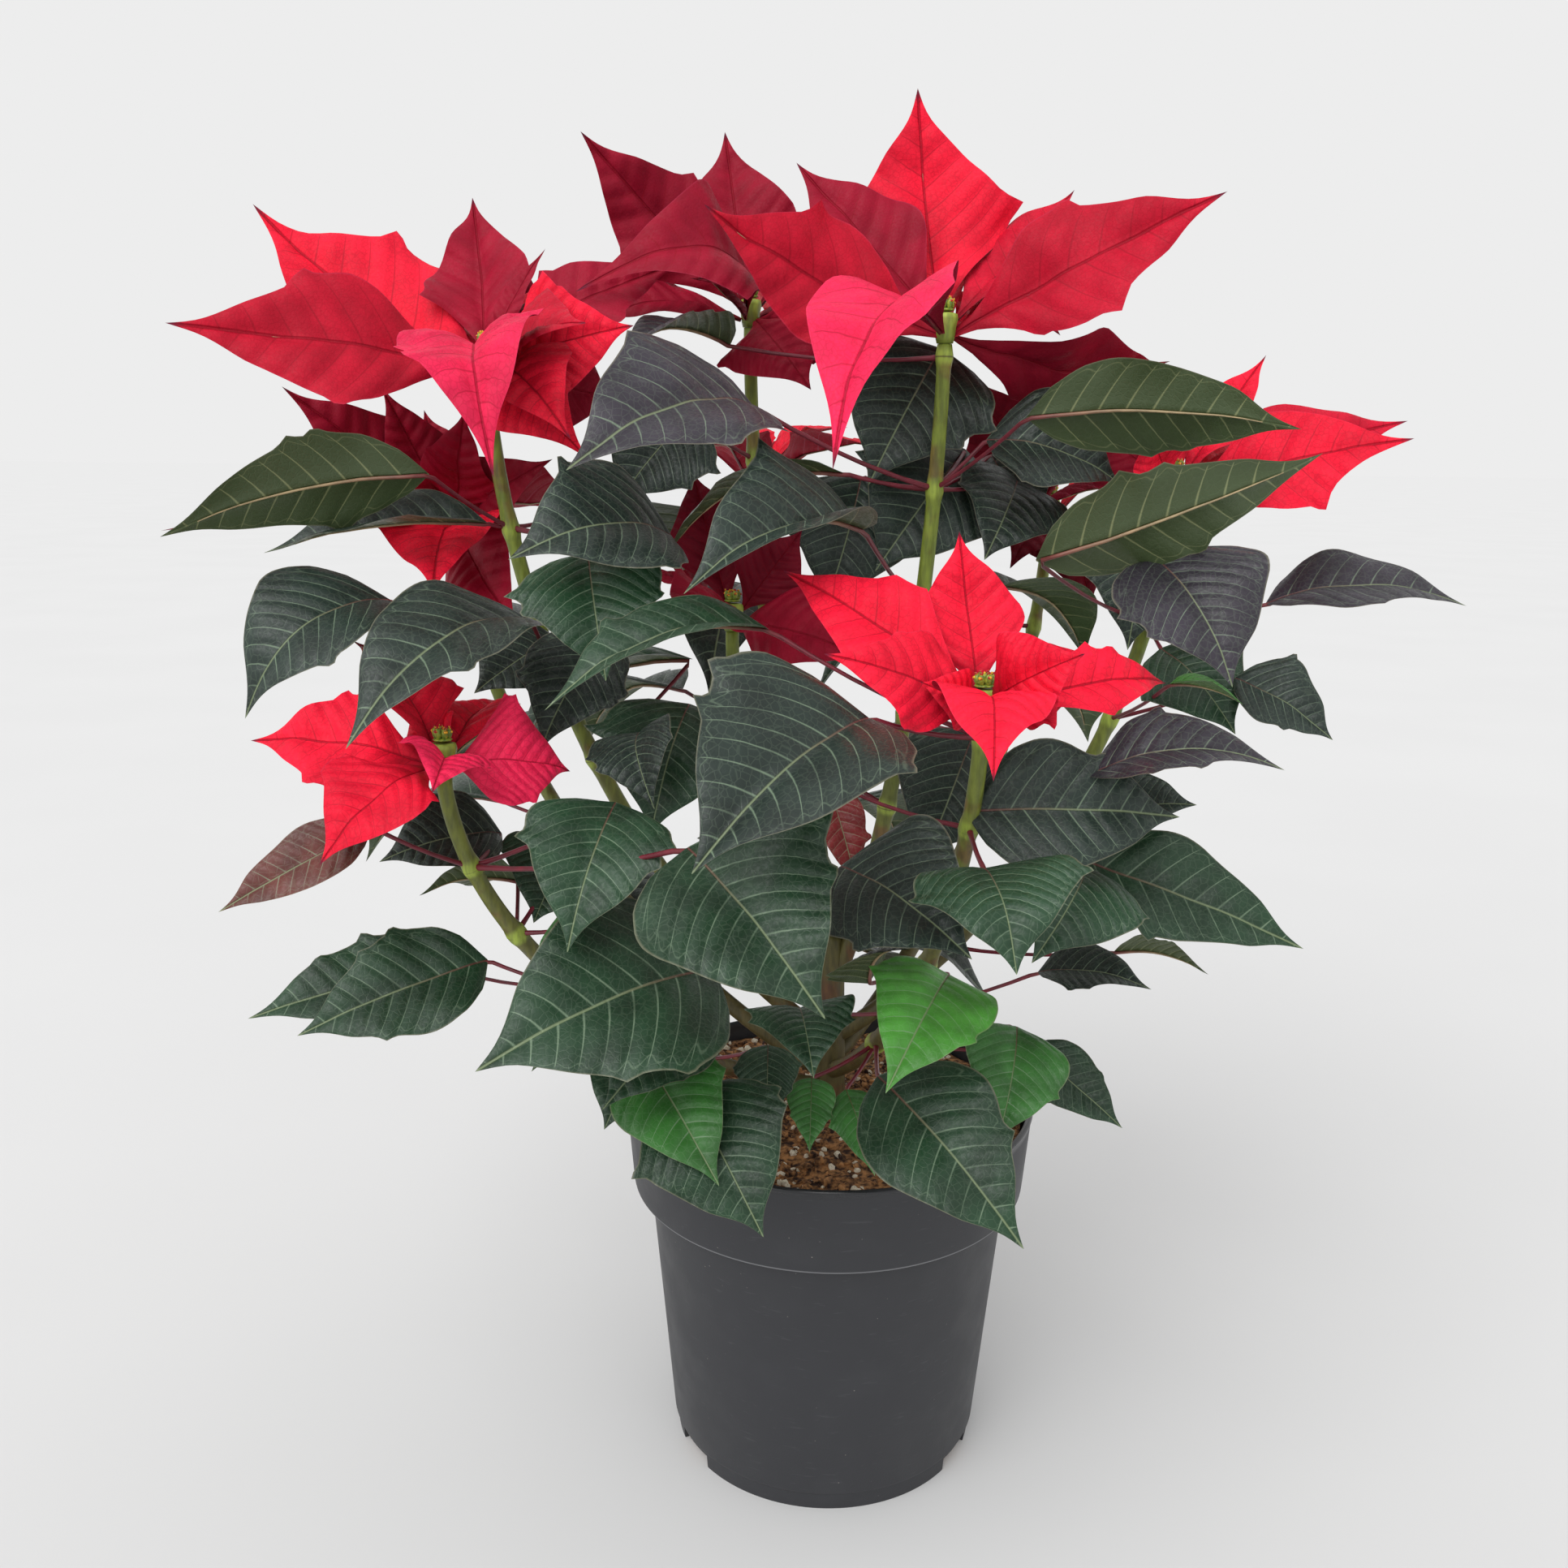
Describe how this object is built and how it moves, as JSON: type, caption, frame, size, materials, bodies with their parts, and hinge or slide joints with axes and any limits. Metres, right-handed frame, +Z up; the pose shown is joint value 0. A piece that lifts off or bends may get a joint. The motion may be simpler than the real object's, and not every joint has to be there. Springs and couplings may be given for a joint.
{
  "type": "potted poinsettia",
  "caption": "Potted poinsettia: round nursery pot filled with peat soil, a short trunk, leafy stems, and a head of red bracts round small cyathia on each stem.",
  "frame": {"origin": "on the pot's axis, at the surface that the pot stands on", "axes": "+Z up along the pot's axis; the plant's front faces -Y, its right side seen from the front is +X"},
  "size_m": [0.5271, 0.428, 0.608],
  "materials": {
    "pot_plastic": "injection-moulded polypropylene, fine matte grain",
    "peat_soil": "loose peat and coir with perlite",
    "bark": "green-brown young bark",
    "bract": "satin, veined red bract",
    "cyathia": "yellow-green, slightly waxy",
    "leaf_and_stem": "satin, veined dark green leaf on a yellow-green stem"
  },
  "bodies": {
    "root": {"pot": "pot_plastic", "soil": "peat_soil", "trunk": "bark", "head_left_top": "bract", "cyathia_left_top": "cyathia", "leafy_left_top": "leaf_and_stem", "head_back": "bract", "cyathia_back": "cyathia", "leafy_back": "leaf_and_stem", "head_right_top": "bract", "cyathia_right_top": "cyathia", "leafy_right_top": "leaf_and_stem", "head_right": "bract", "cyathia_right": "cyathia", "leafy_right": "leaf_and_stem", "head_front": "bract", "cyathia_front": "cyathia", "leafy_front": "leaf_and_stem", "head_left_low": "bract", "cyathia_left_low": "cyathia", "leafy_left_low": "leaf_and_stem", "head_rear_left": "bract", "cyathia_rear_left": "cyathia", "leafy_rear_left": "leaf_and_stem", "head_centre": "bract", "cyathia_centre": "cyathia", "leafy_centre": "leaf_and_stem", "head_rear_right": "bract", "cyathia_rear_right": "cyathia", "leafy_rear_right": "leaf_and_stem", "head_rear": "bract", "cyathia_rear": "cyathia", "leafy_rear": "leaf_and_stem"}
  },
  "joints": []
}
